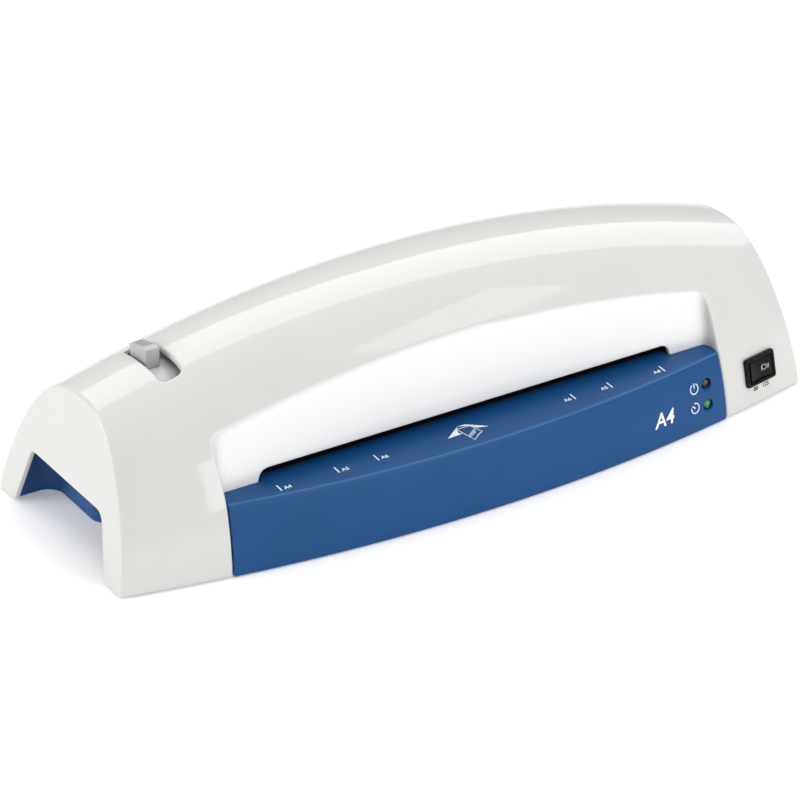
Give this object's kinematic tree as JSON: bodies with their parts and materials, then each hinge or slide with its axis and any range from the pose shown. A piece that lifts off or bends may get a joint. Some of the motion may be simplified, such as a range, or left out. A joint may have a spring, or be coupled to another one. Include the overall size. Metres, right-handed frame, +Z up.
{
  "type": "pouch laminator",
  "caption": "Desktop A4 pouch laminator: domed white cover with a feed recess, blue front panel, release lever and rocker switch over heated rollers.",
  "frame": {"origin": "centre of the bounding box's bottom face, on the surface that the feet stand on", "axes": "+X to the switch end, along the rollers; +Y from the feed side to the exit side; +Z up"},
  "size_m": [0.3868, 0.153, 0.1057],
  "materials": {
    "cover_white": "satin moulded shell",
    "panel_blue": "satin moulded",
    "tray_blue": "fine texture",
    "lever_grey": "satin moulded",
    "foot_rubber": "matt",
    "silicone": "smooth silicone",
    "gear_nylon": "natural nylon",
    "bronze": "sintered",
    "heater_aluminium": "extruded",
    "black_plastic": "satin black",
    "circuit_board": "solder mask",
    "lens_red": "tinted lens",
    "lens_green": "tinted lens",
    "fuse_ceramic": "glazed",
    "steel": "zinc plated"
  },
  "bodies": {
    "housing": {"base_tray": "tray_blue", "bush_infeed_left": "bronze", "bush_infeed_right": "bronze", "bush_outfeed_left": "bronze", "bush_outfeed_right": "bronze", "carriage_spring_left": "steel", "carriage_spring_right": "steel", "control_board": "circuit_board", "cord_gland": "black_plastic", "entry_guide_lower": "black_plastic", "entry_guide_upper": "black_plastic", "exit_guide": "black_plastic", "foot_front_left": "foot_rubber", "foot_front_right": "foot_rubber", "foot_rear_left": "foot_rubber", "foot_rear_right": "foot_rubber", "frame_screw_front_left": "steel", "frame_screw_front_right": "steel", "frame_screw_rear_left": "steel", "frame_screw_rear_right": "steel", "front_panel": "panel_blue", "gear_motor": "steel", "heater_plate_lower": "heater_aluminium", "heater_plate_upper": "heater_aluminium", "idler_pin": "steel", "led_power": "lens_red", "led_ready": "lens_green", "motor_bracket": "steel", "side_frame_left": "steel", "side_frame_right": "steel", "switch_housing": "black_plastic", "thermal_fuse": "fuse_ceramic", "thermostat": "black_plastic", "tie_bar_front": "steel", "tie_bar_rear": "steel", "top_cover": "cover_white"},
    "rocker": {"switch_rocker": "black_plastic"},
    "release_lever": {"release_shaft": "steel", "release_arm": "lever_grey", "release_knob": "lever_grey", "release_cam_left": "lever_grey", "release_cam_right": "lever_grey"},
    "roller_carriage": {"carriage_left": "steel", "carriage_right": "steel"},
    "idler": {"idler_gear": "gear_nylon"},
    "motor_drive": {"motor_pinion": "gear_nylon"},
    "infeed_lower_roller": {"infeed_lower_shaft": "steel", "infeed_lower_sleeve": "silicone", "infeed_lower_gear": "gear_nylon"},
    "outfeed_lower_roller": {"outfeed_lower_shaft": "steel", "outfeed_lower_sleeve": "silicone", "outfeed_lower_gear": "gear_nylon"},
    "infeed_upper_roller": {"infeed_upper_shaft": "steel", "infeed_upper_sleeve": "silicone", "infeed_upper_gear": "gear_nylon"},
    "outfeed_upper_roller": {"outfeed_upper_shaft": "steel", "outfeed_upper_sleeve": "silicone", "outfeed_upper_gear": "gear_nylon"}
  },
  "joints": [
    {"name": "release_swing", "type": "hinge", "parent": "housing", "child": "release_lever", "pos_m": [0, 0.001, 0.046], "axis": [1, 0, 0], "range_deg": [0, 21.5]},
    {"name": "carriage_lift", "type": "slide", "parent": "housing", "child": "roller_carriage", "axis": [0, 0, 1], "range_m": [0, 0.0015], "deforming": ["carriage_spring_left", "carriage_spring_right"]},
    {"name": "switch_rock", "type": "hinge", "parent": "housing", "child": "rocker", "pos_m": [0.1638, -0.05558, 0.01852], "axis": [-0.039, 0.1868, 0.9816], "range_deg": [-9, 9]},
    {"name": "outfeed_lower_spin", "type": "hinge", "parent": "housing", "child": "outfeed_lower_roller", "pos_m": [0, 0.022, 0.0279], "axis": [1, 0, 0], "continuous": true},
    {"name": "infeed_lower_spin", "type": "hinge", "parent": "housing", "child": "infeed_lower_roller", "pos_m": [0, -0.022, 0.0279], "axis": [1, 0, 0], "continuous": true},
    {"name": "outfeed_upper_spin", "type": "hinge", "parent": "roller_carriage", "child": "outfeed_upper_roller", "pos_m": [0, 0.022, 0.0499], "axis": [1, 0, 0], "continuous": true},
    {"name": "infeed_upper_spin", "type": "hinge", "parent": "roller_carriage", "child": "infeed_upper_roller", "pos_m": [0, -0.022, 0.0499], "axis": [1, 0, 0], "continuous": true},
    {"name": "idler_spin", "type": "hinge", "parent": "housing", "child": "idler", "pos_m": [0, 0, 0.0279], "axis": [1, 0, 0], "continuous": true},
    {"name": "motor_spin", "type": "hinge", "parent": "housing", "child": "motor_drive", "pos_m": [0, 0.039, 0.0279], "axis": [1, 0, 0], "continuous": true}
  ],
  "couplings": [
    {"joint": "release_swing", "follows": "carriage_lift", "rad_per_m": 250},
    {"joint": "infeed_lower_spin", "follows": "outfeed_lower_spin", "ratio": 1},
    {"joint": "outfeed_upper_spin", "follows": "outfeed_lower_spin", "ratio": -1},
    {"joint": "infeed_upper_spin", "follows": "outfeed_lower_spin", "ratio": -1},
    {"joint": "idler_spin", "follows": "outfeed_lower_spin", "ratio": -1},
    {"joint": "motor_spin", "follows": "outfeed_lower_spin", "ratio": -1.8333}
  ]
}
